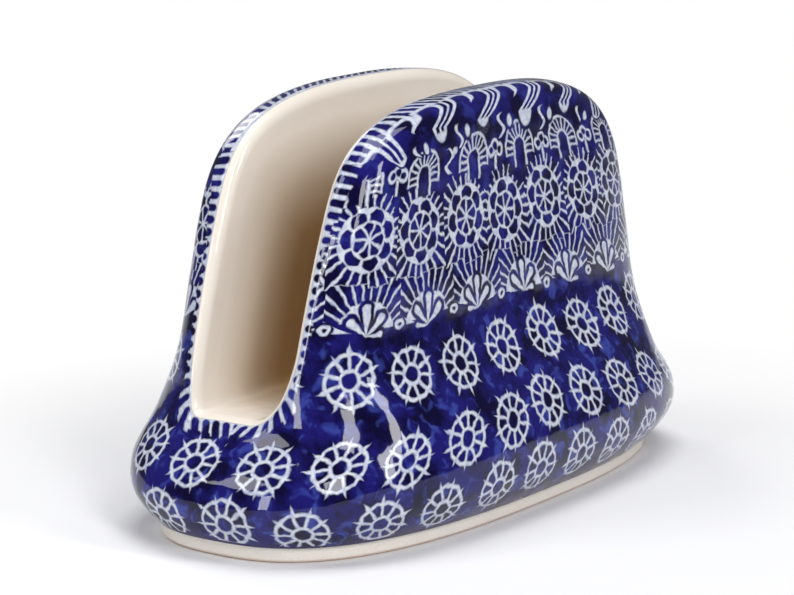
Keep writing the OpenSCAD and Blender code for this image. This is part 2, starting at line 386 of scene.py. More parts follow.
def flat_path(z):
    rear = slot_half(FLOOR_HEIGHT) - REAR_COVE_WIDTH
    front = FRONT_COVE_WIDTH - slot_half(FLOOR_HEIGHT)
    y = mix(rear, front, np.arange(1, FLOOR_STEPS) / FLOOR_STEPS)
    return np.stack([y, np.full(len(y), z)], 1)


def trough_normals():
    way = np.gradient(TROUGH_FACE, axis=0)
    way /= np.linalg.norm(way, axis=1)[:, None]
    normals = np.stack([-way[:, 1], way[:, 0]], 1)
    normals[0] = [1, 0]
    normals[-1] = [-1, 0]
    return normals


TROUGH_FACE = np.concatenate([cove(REAR_COVE_WIDTH, REAR_COVE_SQUARENESS),
                              flat_path(FLOOR_HEIGHT),
                              mirrored(cove(FRONT_COVE_WIDTH, FRONT_COVE_SQUARENESS)[::-1], 0)])
TROUGH_BACK = np.concatenate([cove_backing(REAR_COVE_WIDTH), flat_path(SPLIT_HEIGHT),
                              mirrored(cove_backing(FRONT_COVE_WIDTH)[::-1], 0)])
TROUGH_NORMALS = trough_normals()
TROUGH_TURNS = np.minimum(np.arange(len(TROUGH_FACE)), np.arange(len(TROUGH_FACE))[::-1])
TROUGH_LIPS = mix(LIP_RADIUS, FLOOR_LIP_RADIUS, np.minimum(1, TROUGH_TURNS / (2 * FLARE_STEPS)))


def trough_total(k):
    """How deep the trough is at a place on its cross-section, by way of its lip."""
    radius = TROUGH_LIPS[k]
    inner = TROUGH_FACE[k] + TROUGH_NORMALS[k] * radius
    return radius + np.linalg.norm(TROUGH_BACK[k] - inner)


def trough_point(k, depth):
    radius = TROUGH_LIPS[k]
    p = TROUGH_FACE[k] + TROUGH_NORMALS[k] * min(depth, radius)
    if depth > radius:
        p = mix(p, TROUGH_BACK[k], (depth - radius) / (trough_total(k) - radius))
    slope = lean(p[1], abs(p[0]))
    x = reach(p[1], p[0]) - draw_back(depth, radius) * math.sqrt(1 + slope ** 2)
    return [x, p[0], p[1]]


def trough_end():
    depths = np.array([lip_depths(TROUGH_LIPS[k], trough_total(k))
                       for k in range(len(TROUGH_FACE))])
    rows = np.array([[trough_point(k, depth) for depth in row] for k, row in enumerate(depths)])
    rows[0] = mirrored(ARCHES[0], 0)
    rows[-1] = mirrored(mirrored(ARCHES[0], 0), 1)
    return rows, depths


def trough_shell():
    end, depths = trough_end()
    near = mirrored(end, 0)
    return [patch(end, depths), patch(near, depths),
            patch(across(near[:, 0], end[:, 0], SLOT_COLUMNS), 0),
            patch(across(near[:, -1], end[:, -1], SLOT_COLUMNS), PANEL, False),
            patch(across(near[0], end[0], SLOT_COLUMNS), depths[0][:, None], False),
            patch(across(near[-1], end[-1], SLOT_COLUMNS), depths[-1][:, None], False)]


TURN_MARGIN = 1e-7
SAME_TURN = 1e-6


def skirt_turns():
    n = plan_power(SPLIT_HEIGHT)
    b = half_width(SPLIT_HEIGHT)
    share = (slot_half(SPLIT_HEIGHT) + PANEL) / b
    first = math.atan2(share, complement(share, n))
    wall = np.linspace(first, math.pi - first, WALL_COLUMNS + 1)
    low = TROUGH_BACK[:, 1] <= SPLIT_HEIGHT
    shares = TROUGH_BACK[low, 0] / b
    end = np.arctan2(shares, complement(np.abs(shares), n))
    turns = np.concatenate([wall, -wall, end, math.pi - end])
    turns = np.sort(np.mod(turns + TURN_MARGIN, 2 * math.pi) - TURN_MARGIN)
    return turns[np.concatenate([[True], np.diff(turns) > SAME_TURN])]


def ring_shell(outer, inner, shown=1):
    """A closed ring between two surfaces, of which the first few patches show."""
    grids = [outer, inner, np.stack([outer[0], inner[0]]), np.stack([outer[-1], inner[-1]])]
    return [patch(grid, DEEP, k < shown, True) for k, grid in enumerate(grids)]


def skirt_shell():
    turns = skirt_turns()[None, :]
    z = np.linspace(FOOT_HEIGHT, SPLIT_HEIGHT, SKIRT_ROWS + 1)[:, None]
    return ring_shell(plan(z, turns), plan(z, turns, SKIN))


def foot_rows(inset, side):
    edge = math.pi / 2 * np.linspace(0, 1, FOOT_EDGE_POINTS)
    turns = np.linspace(0, 2 * math.pi, FOOT_COLUMNS, endpoint=False)
    rows = []
    for turn in edge:
        rows.append(plan(FOOT_HEIGHT, turns, inset + side * FOOT_ROUNDING * (1 - math.sin(turn))))
        rows[-1][:, 2] = FOOT_ROUNDING * (1 - math.cos(turn))
    for height in np.linspace(FOOT_ROUNDING, FOOT_HEIGHT, FOOT_SIDE_POINTS)[1:]:
        rows.append(plan(FOOT_HEIGHT, turns, inset))
        rows[-1][:, 2] = height
    return np.array(rows)


def foot_shell():
    return ring_shell(foot_rows(FOOT_INSET, 1), foot_rows(FOOT_INSET + FOOT_WIDTH, -1), 3)


def plate_shell():
    turns = np.linspace(0, 2 * math.pi, FOOT_COLUMNS, endpoint=False)
    rim = plan(FOOT_HEIGHT, turns, SKIN)
    hole = np.stack([VENT_RADIUS * np.cos(turns), VENT_RADIUS * np.sin(turns),
                     np.full(len(turns), FOOT_HEIGHT)], 1)
    low = across(rim, hole, PLATE_RINGS).swapaxes(0, 1)
    high = low.copy()
    high[..., 2] = BOTTOM_TOP
    return ring_shell(low, high, 4)


# Where the ornament lies: t is the share of the way round a level slice, counted from the middle
# of the near end past the front wall, and v is the way up the surface at a constant t. A third
# value is the slice's length. The tables stop just short of the top.
TABLE_ROWS = 200
CREST_ROWS = 120
CREST_END = 0.02
TURN_COLUMNS = 1441
SHARE_COLUMNS = 361
CREST_HEIGHTS = mix(HEIGHT, EDGE_HEIGHT, np.linspace(1, CREST_END, CREST_ROWS)[1:] ** 2)
TABLE_HEIGHTS = np.concatenate([np.linspace(FOOT_HEIGHT, EDGE_HEIGHT, TABLE_ROWS), CREST_HEIGHTS])
TABLE_TURNS = np.linspace(-math.pi, math.pi, TURN_COLUMNS)
TABLE_SHARES = np.linspace(0, 1, SHARE_COLUMNS)


def build_tables():
    loops = plan(TABLE_HEIGHTS[:, None], TABLE_TURNS[None, :])
    arcs = np.cumsum(np.linalg.norm(np.diff(loops, axis=1), axis=2), 1)
    arcs = np.concatenate([np.zeros((len(loops), 1)), arcs], 1)
    rounds = arcs[:, -1]
    shares = arcs / rounds[:, None]
    lines = np.stack([np.stack([np.interp(TABLE_SHARES, share, loop[:, k]) for k in range(3)], 1)
                      for share, loop in zip(shares, loops)])
    climbs = np.cumsum(np.linalg.norm(np.diff(lines, axis=0), axis=2), 0)
    climbs = np.concatenate([np.zeros((1, len(TABLE_SHARES))), climbs])
    return shares, rounds, climbs


SHARE_TABLE, ROUND_TABLE, CLIMB_TABLE = build_tables()


def lookup(table, rows, columns):
    r = np.clip(rows.astype(int), 0, table.shape[0] - 2)
    c = np.clip(columns.astype(int), 0, table.shape[1] - 2)
    share = columns - c
    low = mix(table[r, c], table[r, c + 1], share)
    high = mix(table[r + 1, c], table[r + 1, c + 1], share)
    return mix(low, high, rows - r)


def ornament_places(points):
    z = np.clip(points[:, 2], FOOT_HEIGHT, TABLE_HEIGHTS[-1])
    turn = np.arctan2(points[:, 1] / half_width(z), points[:, 0] / half_length(z))
    rows = np.interp(z, TABLE_HEIGHTS, np.arange(len(TABLE_HEIGHTS)))
    columns = (turn + math.pi) / (2 * math.pi) * (len(TABLE_TURNS) - 1)
    t = lookup(SHARE_TABLE, rows, columns)
    v = lookup(CLIMB_TABLE, rows, t * (len(TABLE_SHARES) - 1))
    return np.stack([t, v, np.interp(z, TABLE_HEIGHTS, ROUND_TABLE)], 1)


# The lines where the cream slot ends and the painted outside begins, for the rear side and for the
# front. Each runs from the middle of the floor's near end up one wall, over its crown, and down
# again to the floor's far end. The depths behind the slot's face are by side: 1 is the rear.
PAINT_DEPTH_FLOOR = 0.8
PAINT_DEPTHS = {1: 2.1, -1: 1.7}
LINE_POINTS = 900
BATCH = 2000


def paint_line(side):
    order = np.arange(len(TROUGH_FACE))
    middle = int(np.abs(TROUGH_FACE[:, 0]).argmin())
    order = order[middle:0:-1] if side > 0 else order[middle:-1]
    points = []
    depths = []
    for k in order:
        share = min(1, TROUGH_TURNS[k] / (2 * FLARE_STEPS))
        depth = mix(PAINT_DEPTHS[side], PAINT_DEPTH_FLOOR, share)
        points.append(trough_point(k, depth))
        depths.append(depth)
    points = mirrored(points, 0)
    arch = near_arch(PAINT_DEPTHS[side])
    if side < 0:
        arch = mirrored(arch, 1)
    points = np.concatenate([points, arch])
    depths = np.concatenate([depths, np.full(len(arch), PAINT_DEPTHS[side])])
    way = np.concatenate([[0], np.cumsum(np.linalg.norm(np.diff(points, axis=0), axis=1))])
    even = np.linspace(0, way[-1], LINE_POINTS)
    line = np.stack([np.interp(even, way, points[:, k]) for k in range(3)], 1)
    return line, even, np.interp(even, way, depths)


def line_places(points, depth, side):
    line, ways, limits = paint_line(side)
    quarter = points * np.where(points[:, :1] > 0, [[-1, 1, 1]], [[1, 1, 1]])
    result = np.zeros((len(points), 3))
    for start in range(0, len(points), BATCH):
        batch = slice(start, start + BATCH)
        part = quarter[batch]
        gap = np.linalg.norm(part[:, None, :] - line[None, :, :], axis=2)
        k = gap.argmin(1)
        best = gap[np.arange(len(part)), k]
        way = ways[k]
        for low in (np.maximum(k - 1, 0), np.minimum(k, len(line) - 2)):
            a, b = line[low], line[low + 1]
            share = np.clip(((part - a) * (b - a)).sum(1) / ((b - a) ** 2).sum(1), 0, 1)
            foot = mix(a, b, share[:, None])
            distance = np.linalg.norm(part - foot, axis=1)
            closer = distance < best
            best = np.where(closer, distance, best)
            way = np.where(closer, mix(ways[low], ways[low + 1], share), way)
        limit = np.interp(way, ways, limits)
        sign = np.where(depth[batch] < limit, -1, 1)
        way = np.where(points[batch, 0] > 0, 2 * ways[-1] - way, way)
        result[batch] = np.stack([way, best * sign, np.full(len(way), side)], 1)
    return result


def rim_places(points, depth):
    rear = points[:, 1] > 0
    result = np.zeros((len(points), 3))
    for side, chosen in ((1, rear), (-1, ~rear)):
        if chosen.any():
            result[chosen] = line_places(points[chosen], depth[chosen], side)
    return result


# Points within a thousandth of a millimetre are one.
KEY = 1000
KEY_SHIFT = 0.317


def keys(points):
    return np.round(points * KEY + KEY_SHIFT).astype(np.int64)


# The map: the gap between strips, the most cuts of a strip and the room for uneven ones, and the
# share of the side that a hidden patch takes, with its room and spacing
MAP_GAP = 1.5
MOST_CUTS = 8
CUT_ROOM = 1.04
HIDDEN_SHARE = 0.03
HIDDEN_ROOM = 1.5
HIDDEN_STEP = 1.2


def spans(points, axis):
    """Mean length from the first row or column of points to each of the others."""
    steps = np.linalg.norm(np.diff(points, axis=axis), axis=-1)
    return np.concatenate([[0], np.cumsum(steps.mean(1 - axis))])


def bake_places(shell):
    """Lays a shell's faces on one square map: long strips of what shows, then what is hidden."""
    sizes = []
    for p in shell:
        points = p["points"]
        if p["closed"]:
            points = np.concatenate([points, points[:, :1]], 1)
        sizes.append((spans(points, 1), spans(points, 0), p["shows"]))
    shown = [(u, v) for u, v, shows in sizes if shows]
    width = max(u[-1] for u, v in shown)
    height = sum(v[-1] + MAP_GAP for u, v in shown)
    cuts = min(range(1, MOST_CUTS + 1), key=lambda k: max(width / k, k * height))
    side = max(width / cuts * CUT_ROOM + MAP_GAP, cuts * height) * (1 + HIDDEN_SHARE * HIDDEN_ROOM)
    hidden_size = side * HIDDEN_SHARE
    bottom, hidden_left = 0, 0
    places = []
    for u, v, shows in sizes:
        if shows:
            strip = np.minimum((u[:-1] * cuts / width).astype(int), cuts - 1)
            start = u[np.searchsorted(strip, strip)]
            left, right = u[:-1] - start, u[1:] - start
            base = (bottom + strip * height)[None, :]
            low, high = base + v[:-1, None], base + v[1:, None]
            bottom += v[-1] + MAP_GAP
        else:
            left, right = (hidden_left + part / u[-1] * hidden_size for part in (u[:-1], u[1:]))
            low, high = (side - hidden_size + part[:, None] / v[-1] * hidden_size
                         for part in (v[:-1], v[1:]))
            hidden_left += hidden_size * HIDDEN_STEP
        shape = (len(v) - 1, len(u) - 1)
        corners = [(left, low), (right, low), (right, high), (left, high)]
        corners = [np.stack([np.broadcast_to(x, shape), np.broadcast_to(y, shape)], -1)
                   for x, y in corners]
        places.append(np.stack(corners, 2).reshape(-1, 4, 2) / side)
    return places


def weld(shell):
    """Joins a shell's patches into points, depths, faces, what shows and places on the map."""
    points = np.concatenate([p["points"].reshape(-1, 3) for p in shell])
    depths = np.concatenate([p["depth"].reshape(-1) for p in shell])
    _, first, same = np.unique(keys(points), axis=0, return_index=True, return_inverse=True)
    same = same.reshape(-1)
    faces = []
    shows = []
    spots = []
    start = 0
    for p, places in zip(shell, bake_places(shell)):
        rows, columns = p["points"].shape[:2]
        grid = same[start:start + rows * columns].reshape(rows, columns)
        start += rows * columns
        if p["closed"]:
            grid = np.concatenate([grid, grid[:, :1]], 1)
        quads = np.stack([grid[:-1, :-1], grid[:-1, 1:], grid[1:, 1:], grid[1:, :-1]], -1)
        for quad, place in zip(quads.reshape(-1, 4), places):
            kept = [k for k, c in enumerate(quad) if c != quad[k - 1]]
            corners = [int(quad[k]) for k in kept]
            if len(corners) > 2 and len(set(corners)) == len(corners):
                faces.append(corners)
                shows.append(p["shows"])
                spots.append(place[kept])
    return points[first], depths[first], faces, np.array(shows), np.concatenate(spots)


def make_piece(name, shell, nodes, mirror_y=False):
    points, depths, faces, shows, spots = weld(shell)
    if mirror_y:
        points = mirrored(points, 1)
    mesh = bpy.data.meshes.new(name)
    mesh.from_pydata([tuple(p) for p in points * MM], [], faces)
    layer = mesh.uv_layers.new(name="OFBake", do_init=False)
    layer.data.foreach_set("uv", spots.astype(np.float32).reshape(-1))
    bm = bmesh.new()
    bm.from_mesh(mesh)
    bmesh.ops.recalc_face_normals(bm, faces=bm.faces)
    bm.to_mesh(mesh)
    bm.free()
    mesh.polygons.foreach_set("use_smooth", [True] * len(mesh.polygons))
    piece = bpy.data.objects.new(name, mesh)
    bpy.context.scene.collection.objects.link(piece)
    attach(piece, "root")
    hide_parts(*nodes)
    return {"object": piece, "points": points, "depths": depths, "shows": shows}


def corner_data(mesh):
    corner_points = np.zeros(len(mesh.loops), int)
    mesh.loops.foreach_get("vertex_index", corner_points)
    totals = np.zeros(len(mesh.polygons), int)
    mesh.polygons.foreach_get("loop_total", totals)
    normals = np.zeros(len(mesh.polygons) * 3)
    mesh.polygons.foreach_get("normal", normals)
    owner = np.repeat(np.arange(len(totals)), totals)
    return corner_points, totals, owner, normals.reshape(-1, 3)


SMALLEST_AREA = 1e-12
SMALLEST_LENGTH = 1e-9


def smooth_together(pieces):
    """Gives the showing faces of several pieces the normals of one continuous surface."""
    all_keys = []
    all_parts = []
    for p in pieces:
        corner_points, totals, owner, normals = corner_data(p["object"].data)
        starts = np.concatenate([[0], np.cumsum(totals)[:-1]])
        place = np.arange(len(owner)) - starts[owner]
        before = starts[owner] + (place - 1) % totals[owner]
        after = starts[owner] + (place + 1) % totals[owner]
        xyz = p["points"][corner_points]
        one = xyz[before] - xyz
        two = xyz[after] - xyz
        area = np.linalg.norm(one, axis=1) * np.linalg.norm(two, axis=1)
        angle = np.arccos(np.clip((one * two).sum(1) / np.maximum(SMALLEST_AREA, area), -1, 1))
        shows = p["shows"][owner]
        all_keys.append(keys(xyz))
        all_parts.append(np.where(shows[:, None], normals[owner] * angle[:, None], 0))
        p["owner"], p["normals"] = owner, normals
    _, same = np.unique(np.concatenate(all_keys), axis=0, return_inverse=True)
    same = same.reshape(-1)
    parts = np.concatenate(all_parts)
    total = np.stack([np.bincount(same, parts[:, k]) for k in range(3)], 1)
    start = 0
    for p, part in zip(pieces, all_parts):
        count = len(part)
        smooth = total[same[start:start + count]]
        start += count
        length = np.linalg.norm(smooth, axis=1)
        shows = p["shows"][p["owner"]] & (length > SMALLEST_LENGTH)
        chosen = np.where(shows[:, None], smooth / np.maximum(length, SMALLEST_LENGTH)[:, None],
                          p["normals"][p["owner"]])
        p["object"].data.normals_split_custom_set(chosen.tolist())


def paint_places(p):
    """Writes the ornament's and the rim's coordinates on a piece's face corners. A face across
    the seam, where t starts again, reads on past 1."""
    mesh = p["object"].data
    corner_points, totals, owner, _ = corner_data(mesh)
    ornament = ornament_places(p["points"])[corner_points]
    high = np.full(len(totals), -1.0)
    np.maximum.at(high, owner, ornament[:, 0])
    wrap = (high[owner] - ornament[:, 0]) > 0.5
    ornament[wrap, 0] += 1
    rim = rim_places(p["points"], p["depths"])[corner_points]
    for name, values in (("ornament", ornament), ("rim", rim)):
        layer = mesh.attributes.new(name, "FLOAT_VECTOR", "CORNER")
        layer.data.foreach_set("vector", values.astype(np.float32).reshape(-1))


front_wall = make_piece("front_wall_glaze", wall_shell(), ["front_wall"], True)
rear_wall = make_piece("rear_wall_glaze", wall_shell(), ["rear_wall"])
front_panel = make_piece("front_slot_face", panel_shell(), ["front_slot_panel"], True)
rear_panel = make_piece("rear_slot_face", panel_shell(), ["rear_slot_panel"])
trough = make_piece("slot_trough", trough_shell(), ["slot_floor"])
skirt = make_piece("skirt_glaze", skirt_shell(), ["base_skirt"])
foot = make_piece("foot_bare", foot_shell(), ["foot_ring"])
plate = make_piece("underside", plate_shell(), ["bottom_plate"])
glazed = [front_wall, rear_wall, front_panel, rear_panel, trough, skirt]
smooth_together(glazed)
smooth_together([foot])
for piece in glazed:
    paint_places(piece)


# Node materials are written as sums of fields. A field is one output of a node in Field.tree.
class Field:
    tree = None

    def __init__(self, socket):
        self.socket = socket

    def __add__(self, other):
        return calc("ADD", self, other)

    def __sub__(self, other):
        return calc("SUBTRACT", self, other)

    def __rsub__(self, other):
        return calc("SUBTRACT", other, self)

    def __mul__(self, other):
        return calc("MULTIPLY", self, other)

    def __neg__(self):
        return calc("MULTIPLY", self, -1.0)

    __radd__ = __add__
    __rmul__ = __mul__


def plug(socket, value):
    if isinstance(value, Field):
        Field.tree.links.new(value.socket, socket)
    else:
        socket.default_value = value


def new_node(kind):
    return Field.tree.nodes.new("ShaderNode" + kind)


def calc(operation, *values, clamp=False):
    node = new_node("Math")
    node.operation = operation
    node.use_clamp = clamp
    for socket, value in zip(node.inputs, values):
        plug(socket, value)
    return Field(node.outputs[0])


def least(*values):
    result = values[0]
    for value in values[1:]:
        result = calc("MINIMUM", result, value)
    return result


def most(*values):
    result = values[0]
    for value in values[1:]:
        result = calc("MAXIMUM", result, value)
    return result


SOFT_EDGE = 0.42


def inside(distance, soft=SOFT_EDGE):
    """1 where a signed distance in millimetres is positive, with a soft inky edge."""
    return calc("MULTIPLY_ADD", distance, 1 / soft, 0.5, clamp=True)


def climb(value, start, length):
    """Goes from 0 to 1 over a length from a start; a negative length goes the other way."""
    return calc("MULTIPLY_ADD", value, 1 / length, -start / length, clamp=True)


def floor(value):
    return calc("FLOOR", value)


def size_of(x, y):
    return calc("SQRT", calc("MULTIPLY_ADD", x, x, y * y))


def absolute(value):
    return calc("ABSOLUTE", value)


def vector(x, y, z=0.0):
    node = new_node("CombineXYZ")
    for socket, value in zip(node.inputs, (x, y, z)):
        plug(socket, value)
    return Field(node.outputs[0])


def parts_of(value):
    node = new_node("SeparateXYZ")
    plug(node.inputs[0], value)
    return [Field(socket) for socket in node.outputs]


def attribute(name):
    node = new_node("Attribute")
    node.attribute_name = name
    return Field(node.outputs["Vector"])


def noise(place, scale, detail=2.0, roughness=0.5, distortion=0.0, color=False):
    node = new_node("TexNoise")
    for name, value in (("Vector", place), ("Scale", scale), ("Detail", detail),
                        ("Roughness", roughness), ("Distortion", distortion)):
        plug(node.inputs[name], value)
    return Field(node.outputs["Color" if color else "Fac"])


def chance(place):
    node = new_node("TexWhiteNoise")
    node.noise_dimensions = "3D"
    plug(node.inputs["Vector"], place)
    return parts_of(Field(node.outputs["Color"]))


# The sockets of a mix node for colours
TINT_LOW = 6
TINT_HIGH = 7
TINT_RESULT = 2


def tint(low, high, share):
    node = new_node("Mix")
    node.data_type = "RGBA"
    plug(node.inputs["Factor"], share)
    plug(node.inputs[TINT_LOW], low)
    plug(node.inputs[TINT_HIGH], high)
    return Field(node.outputs[TINT_RESULT])


def linear(red, green, blue):
    """A screen's colour, in levels from 0 to 255, as light."""
    values = []
    for level in (red, green, blue):
        share = level / 255
        values.append(share / 12.92 if share <= 0.04045 else ((share + 0.055) / 1.055) ** 2.4)
    return (*values, 1.0)


def sawtooth(value):
    """Goes from 0 to 1 between whole numbers."""
    return calc("FRACT", value)


def tooth(value):
    """0 in the middle between whole numbers and 0.5 at each of them."""
    return absolute(sawtooth(value) - 0.5)


# Rows of stamps: how many go round, their phase, height and wave, how far a stamp strays, and the
# number that its chances are drawn by. The pattern's sizes are millimetres on the surface.
ROSETTES = ((24, 0.33, 5.6, 4.5, 1.6, 0),
            (24, 0.70, 19.8, 4.4, 1.6, 1),
            (21, 0.50, 39.8, 0, 1.6, 2))
FLOWERS = (18.5, 0.45, 70.2, 0, 1.4, 3)
FANS = (17.5, 0.43, 50.0, 0, 1.0, 4)
BUDS = (17.5, 0.93, 51.2, 0, 1.0, 8)
DOMES = (15, 0.0, 82.7, 0, 0.8, 5)
SPRIGS = (15, 0.5, 83.6, 0, 1.4, 6)


def stamp(places, count, phase, height, wave, jitter, row):
    """The nearest stamp of a row: x along the row, y up, its three chances and its number."""
    t, v, around, wobble = places
    turns = t * count - phase
    cell = floor(turns + 0.5)
    luck = chance(vector(cell, row))
    x = (turns - cell) * around * (1 / count) + (luck[0] - 0.5) * jitter + wobble[0]
    centre = height
    if wave:
        centre = height + wave * 0.5 * (1 - calc("COSINE", t * (4 * math.pi)))
    y = v - centre + (luck[1] - 0.5) * jitter + wobble[1]
    return x, y, luck, cell


def petals(x, y, count, spin):
    """Splits the plane round a stamp into equal wedges: radius, distance to the wedge's axis and to
    its edges, and the number of the nearest edge."""
    radius = size_of(x, y)
    angle = calc("ARCTAN2", y, x) * (count / (2 * math.pi)) + spin
    off = tooth(angle)
    step = 2 * math.pi / count
    axis = radius * off * step
    edge = radius * (0.5 - off) * step
    return radius, axis, edge, floor(angle + 0.5)


# A rosette: its spokes, half their width, and the radii of its parts
SPOKES = 10
SPOKE_HALF = 0.36
CELLS_FROM = 2.6
CELLS_TO = 5.4
DISC_RADIUS = 1.8
RIM_RADIUS = 6.15
SPIKE_RADIUS = 6.7
SPIKE_STRAY = 1.3


def rosette(x, y, luck, cell, row):
    """White, with a blue disc and a ring of blue cells, and with a spike at every spoke."""
    radius, axis, edge, spoke = petals(x, y, SPOKES, luck[2])
    bow = axis * axis
    cells = least(edge - SPOKE_HALF, radius - CELLS_FROM - bow * 0.10,
                  CELLS_TO - radius - bow * 0.22)
    lucky = chance(vector(spoke, cell, row + 0.5))
    tip = lucky[0] * lucky[0] * SPIKE_STRAY + SPIKE_RADIUS
    spike = (tip - radius) * 0.32 - edge
    white = most(RIM_RADIUS - radius - bow * 0.08, spike)
    return inside(white) * (1 - inside(most(cells, DISC_RADIUS - radius)))


def capsule(x, y, low, high, radius):
    """Distance inside an upright bar with round ends, from low to high on the Y axis."""
    return radius - size_of(x, y - most(low, least(y, high)))


def round_cone(x, y, angle, length, low, high):
    """Distance inside a teardrop that rises from the origin at an angle from upright."""
    c, s = math.cos(math.radians(angle)), math.sin(math.radians(angle))
    along = x * s + y * c
    side = x * c - y * s
    share = calc("MULTIPLY", along, 1 / length, clamp=True)
    distance = size_of(side, along - share * length)
    return mix(low, high, share) - distance


def rays(x, y, cell, count, start, width, row):
    """Blue strokes that radiate from a stamp: its radius, the strokes and each one's chances."""
    radius, axis, _, _ = petals(x, y, count, 0.0)
    angle = calc("ARCTAN2", y, x) * (count / (2 * math.pi))
    lucky = chance(vector(floor(angle), cell, row))
    stroke = least(radius * width - axis, radius - start - lucky[0] * 0.5)
    return radius, stroke, lucky


def rosette_rows(places):
    marks = []
    for row in ROSETTES:
        x, y, luck, cell = stamp(places, *row)
        marks.append(rosette(x, y, luck, cell, row[-1]))
    return most(*marks)


# A flower's rings of petals: half the line between petals, the radii of a ring and its bow
FLOWER_PETALS = 7
INNER_PETALS = (0.27, 0.75, 3.9, 0.28)
OUTER_PETALS = (0.34, 4.3, 6.9, 0.26)
# Rays: their count, first radius, width and the number of their chances. The two kinds meet at a
# depth under the flowers.
FLOWER_RAYS = (25, 7.0, 0.092, 7.5)
FAN_RAYS = (29, 7.3, 0.083, 9.5)
MEETING_DEPTH = 9.4
# How far a fan's rays keep off a flower, and where they start
FLOWER_MARGIN = 7.3
FAN_RAYS_FOOT = 51.0
# The white behind them, between a ragged foot and a ragged circle round each flower
BAND_FOOT = 50.6
BAND_TOP = 8.2
# The leaves of a fan: angle, length and the radius of the tip
LEAVES = ((-50, 5.2, 0.95), (-3, 6.1, 1.05), (43, 5.4, 0.90))
SIDE_LEAF = (84, 3.6, 0.60)
STEM_RADIUS = 0.10
LEAF_MARGIN = 1.05
BUD_RADII = (0.6, 1.45)
BUD_MARGIN = 2.1


def petal_ring(x, y, spin, line, low, high, bow):
    radius, axis, edge, _ = petals(x, y, FLOWER_PETALS, spin)
    return least(edge - line, radius - low, high - radius - axis * axis * bow)


def flower_band(places, white):
    """Flowers, with rays round them, over leaf fans that have rays of their own."""
    v = places[1]
    x, y, luck, cell = stamp(places, *FLOWERS)
    inner = petal_ring(x, y, luck[2], *INNER_PETALS)
    outer = petal_ring(x, y, luck[2] + 0.5, *OUTER_PETALS)
    radius, stroke, lucky = rays(x, y, cell, *FLOWER_RAYS)
    meeting = y + MEETING_DEPTH + (lucky[2] - 0.5) * 2.4
    high_rays = least(stroke, meeting)

    x, low_y, low_luck, low_cell = stamp(places, *FANS)
    _, low_stroke, low_lucky = rays(x, low_y, low_cell, *FAN_RAYS)
    low_rays = least(low_stroke, radius - FLOWER_MARGIN, -meeting, v - FAN_RAYS_FOOT)

    top = lucky[1] * 2.8 + BAND_TOP
    band = least(v - BAND_FOOT - low_lucky[2] * 2.2, most(top - radius, -y))
    blue = inside(most(inner, outer, high_rays, low_rays), 0.38)
    white = most(white, inside(band, 0.35) * (1 - blue))

    turned = x * calc("SIGN", low_luck[2] - 0.5)
    leaf = most(*[round_cone(turned, low_y, angle, length, STEM_RADIUS, wide)
                  for angle, length, wide in LEAVES])
    angle, length, wide = SIDE_LEAF
    leaf = most(leaf, round_cone(turned, low_y, angle, length, STEM_RADIUS, wide) - 0.02)
    white = most(white * (1 - inside(leaf + LEAF_MARGIN)), inside(leaf, 0.36))

    x, y, _, _ = stamp(places, *BUDS)
    radius = size_of(x, y * 1.2)
    bud = least(BUD_RADII[1] - radius, radius - BUD_RADII[0])
    return most(white * (1 - inside(BUD_MARGIN - radius)), inside(bud))


# A dome, the blue margin round it, its bars, its hollow and its legs
DOME_RADIUS = 6.0
DOME_MARGIN = 6.7
BARS = 9
BAR_ANGLE = 0.349
BAR_RADII = (2.6, 5.35)
HOLLOW_RADIUS = 2.05
LEG_PLACE = 2.3


def dome_row(places, white):
    """Domes with bars, and small buds and squiggles between them."""
    x, y, _, _ = stamp(places, *DOMES)
    out = absolute(x)
    up = most(y, 0.0)
    radius = size_of(x, up)
    swing = calc("ARCTAN2", up, out) * (BARS / math.pi) + least(y, 0.0) * 0.62
    bar = least((0.5 - tooth(swing)) * radius * BAR_ANGLE - 0.23, radius - BAR_RADII[0],
                BAR_RADII[1] - radius)
    dome = least(DOME_RADIUS - radius, y + 2.0)
    legs = least(0.38 - absolute(out - LEG_PLACE), y + 4.6, 0.5 - y)
    shape = most(inside(dome) * (1 - inside(most(bar, HOLLOW_RADIUS - radius))), inside(legs))
    margin = most(inside(least(DOME_MARGIN - radius, y + 2.4)),
                  inside(least(LEG_PLACE - out, y + 4.4, -y)))
    white = most(white * (1 - margin), shape)

    x, y, luck, _ = stamp(places, *SPRIGS)
    cloud = most(1.55 - size_of(absolute(x) - 1.7, y), 1.7 - size_of(x, y - 0.9))
    cloud = least(cloud, 0.7 - cloud)
    stalk = least(0.42 - absolute(x), -0.9 - y, y + 4.4)
    wave = least(0.55 - absolute(x - calc("SINE", y * 1.25) * 1.4), 2.9 - absolute(y))
    dot = 0.85 - size_of(x - 2.2, y - 2.0)
    chosen = inside(luck[2] - 0.55, 0.01)
    return most(white, inside(mix(most(wave, dot), most(cloud, stalk), chosen)))


# Where parts of the rim's band come and go: a start and a length up the height
CROWN_CLIMB = (76.0, 8.0)
SLANT_CLIMB = (89.0, 6.0)
SHOULDER_CLIMB = (66.0, 14.0)
LOW_CLIMB = (38.0, -6.0)
# The length of a piece of the festoon, its phase, and what removes it where there is no crown
FESTOON = 18.0
FESTOON_PHASE = 0.31
OFF_CROWN = 9.0
# The spacing of the short strokes
PITCH = 2.75


